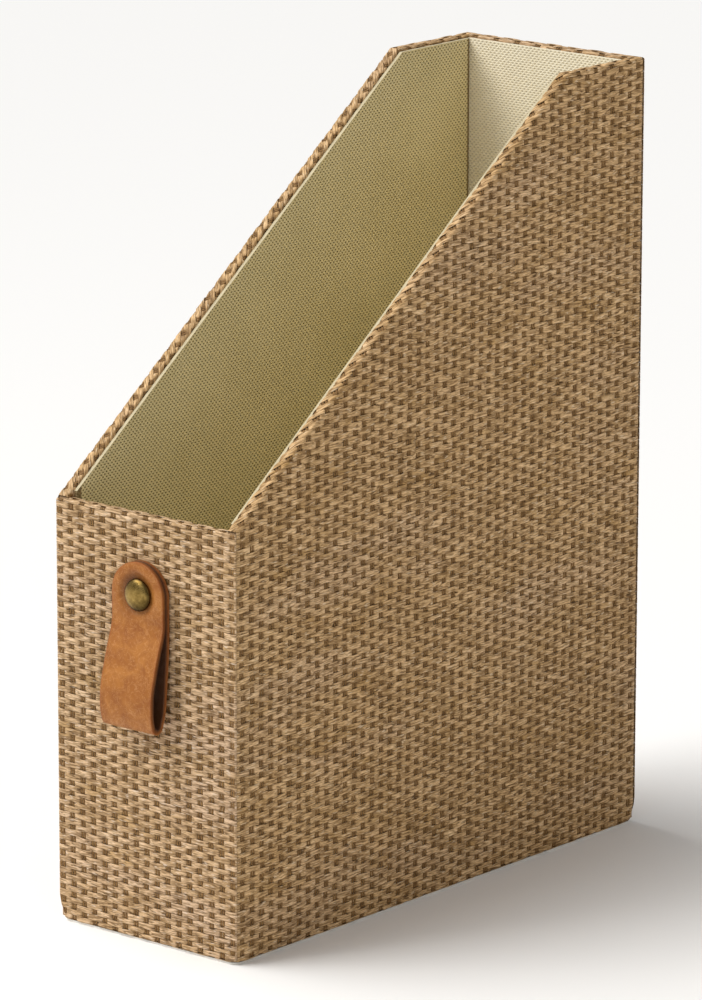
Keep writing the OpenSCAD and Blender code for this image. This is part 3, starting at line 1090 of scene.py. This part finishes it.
def domed_cap():
    """A round cap: a disc raised ring by ring into a dome with a soft lip."""
    radius = (cap_high.x - cap_low.x) / 2
    tall = cap_high.y - cap_low.y
    deselect()
    bpy.ops.mesh.primitive_circle_add(vertices=56, radius=radius * 0.955, fill_type="NGON")
    cap = bpy.context.object
    cap.name = "rivet_dome"
    cap.data.name = "rivet_dome"
    bpy.ops.object.mode_set(mode="EDIT")
    bpy.ops.mesh.select_all(action="SELECT")
    rings = [(0.985, 0.02), (1.0, 0.09), (0.992, 0.17)]
    for step in range(1, 12):
        angle = step / 12 * math.pi / 2
        rings.append((0.985 * math.cos(angle) ** 0.92, 0.2 + 0.8 * math.sin(angle) ** 1.15))
    last = (0.955, 0.0)
    for wide, high in rings:
        bpy.ops.mesh.extrude_region_move(TRANSFORM_OT_translate={"value": (0, 0, (high - last[1]) * tall)})
        bpy.ops.transform.resize(value=(wide / last[0], wide / last[0], 1))
        last = (wide, high)
    bpy.ops.mesh.extrude_region_move(TRANSFORM_OT_translate={"value": (0, 0, (1 - last[1]) * tall)})
    bpy.ops.mesh.merge(type="CENTER")
    bpy.ops.mesh.select_all(action="SELECT")
    bpy.ops.mesh.normals_make_consistent(inside=False)
    bpy.ops.object.mode_set(mode="OBJECT")
    spots = places(cap)
    put(cap, np.stack((spots[:, 0], cap_high.y - spots[:, 2], spots[:, 1] + rivet_z), axis=1))
    pick(cap)
    bpy.ops.object.shade_smooth_by_angle(angle=math.radians(50))
    return cap


dome = domed_cap()
wear(dome, brass)
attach(dome, "case")
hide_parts("rivet_cap")

# ---------------------------------------------------------------- floor, lights and camera

deselect()
bpy.ops.mesh.primitive_plane_add(size=12.0, location=(0, 0, 0))
floor = bpy.context.object
floor.name = "studio_floor"
wear(floor, floor_finish())


def soft_light(name, place, target, size, power, colour=(1.0, 1.0, 1.0)):
    """A square soft light that faces a point."""
    deselect()
    bpy.ops.object.light_add(type="AREA", location=place)
    lamp = bpy.context.object
    lamp.name = name
    lamp.data.size = size
    lamp.data.energy = power
    lamp.data.color = colour
    lamp.rotation_euler = (Vector(target) - Vector(place)).to_track_quat("-Z", "Y").to_euler()


daylight = (1.0, 0.985, 0.955)
deselect()
bpy.ops.object.light_add(type="SUN", location=(-1.1, -0.7, 1.5))
sun = bpy.context.object
sun.name = "soft_key"
sun.data.energy = 2.35
sun.data.angle = math.radians(50)
sun.data.color = daylight
sun.rotation_euler = Vector((0.46, 0.29, -0.84)).to_track_quat("-Z", "Y").to_euler()
soft_light("small_glint", (-0.5, -1.3, 0.9), (0.0, -0.13, 0.14), 0.25, 1.2)
soft_light("near_key", (-0.50, -0.80, 1.0), (0.0, -0.05, 0.2), 0.5, 3.0, daylight)
soft_light("warm_side", (1.6, -0.7, 1.1), (0.0, 0.0, 0.2), 1.0, 2.9, (1.0, 0.90, 0.75))

world = bpy.data.worlds.new("studio_air")
bpy.context.scene.world = world
world.use_nodes = True
world.node_tree.nodes["Background"].inputs["Color"].default_value = (1.0, 1.0, 1.0, 1.0)
world.node_tree.nodes["Background"].inputs["Strength"].default_value = 0.34
bpy.context.scene.view_settings.view_transform = "Standard"

AZIMUTH = math.radians(40.01)
ELEVATION = math.radians(14.08)
ROLL = math.radians(-0.13)
AIM = Vector((0.0, -0.0055, 0.16))
PAN_RIGHT = -0.0018
PAN_UP = 0.00546
DISTANCE = 2.5075
LENS = 227.8
back_axis = Vector((math.sin(AZIMUTH) * math.cos(ELEVATION), -math.cos(AZIMUTH) * math.cos(ELEVATION),
                    math.sin(ELEVATION)))
right_axis = (-back_axis).cross(Vector((0, 0, 1))).normalized()
up_axis = right_axis.cross(-back_axis)
turned_right = right_axis * math.cos(ROLL) - up_axis * math.sin(ROLL)
turned_up = right_axis * math.sin(ROLL) + up_axis * math.cos(ROLL)
eye = AIM - turned_right * PAN_RIGHT - turned_up * PAN_UP + back_axis * DISTANCE
camera_data = bpy.data.cameras.new("camera")
camera_data.sensor_fit = "VERTICAL"
camera_data.sensor_height = 36.0
camera_data.sensor_width = 36.0
camera_data.lens = LENS
camera_data.clip_end = 50.0
camera = bpy.data.objects.new("camera", camera_data)
bpy.context.scene.collection.objects.link(camera)
camera.matrix_world = Matrix((
    (turned_right.x, turned_up.x, back_axis.x, eye.x),
    (turned_right.y, turned_up.y, back_axis.y, eye.y),
    (turned_right.z, turned_up.z, back_axis.z, eye.z),
    (0, 0, 0, 1)))
bpy.context.scene.camera = camera
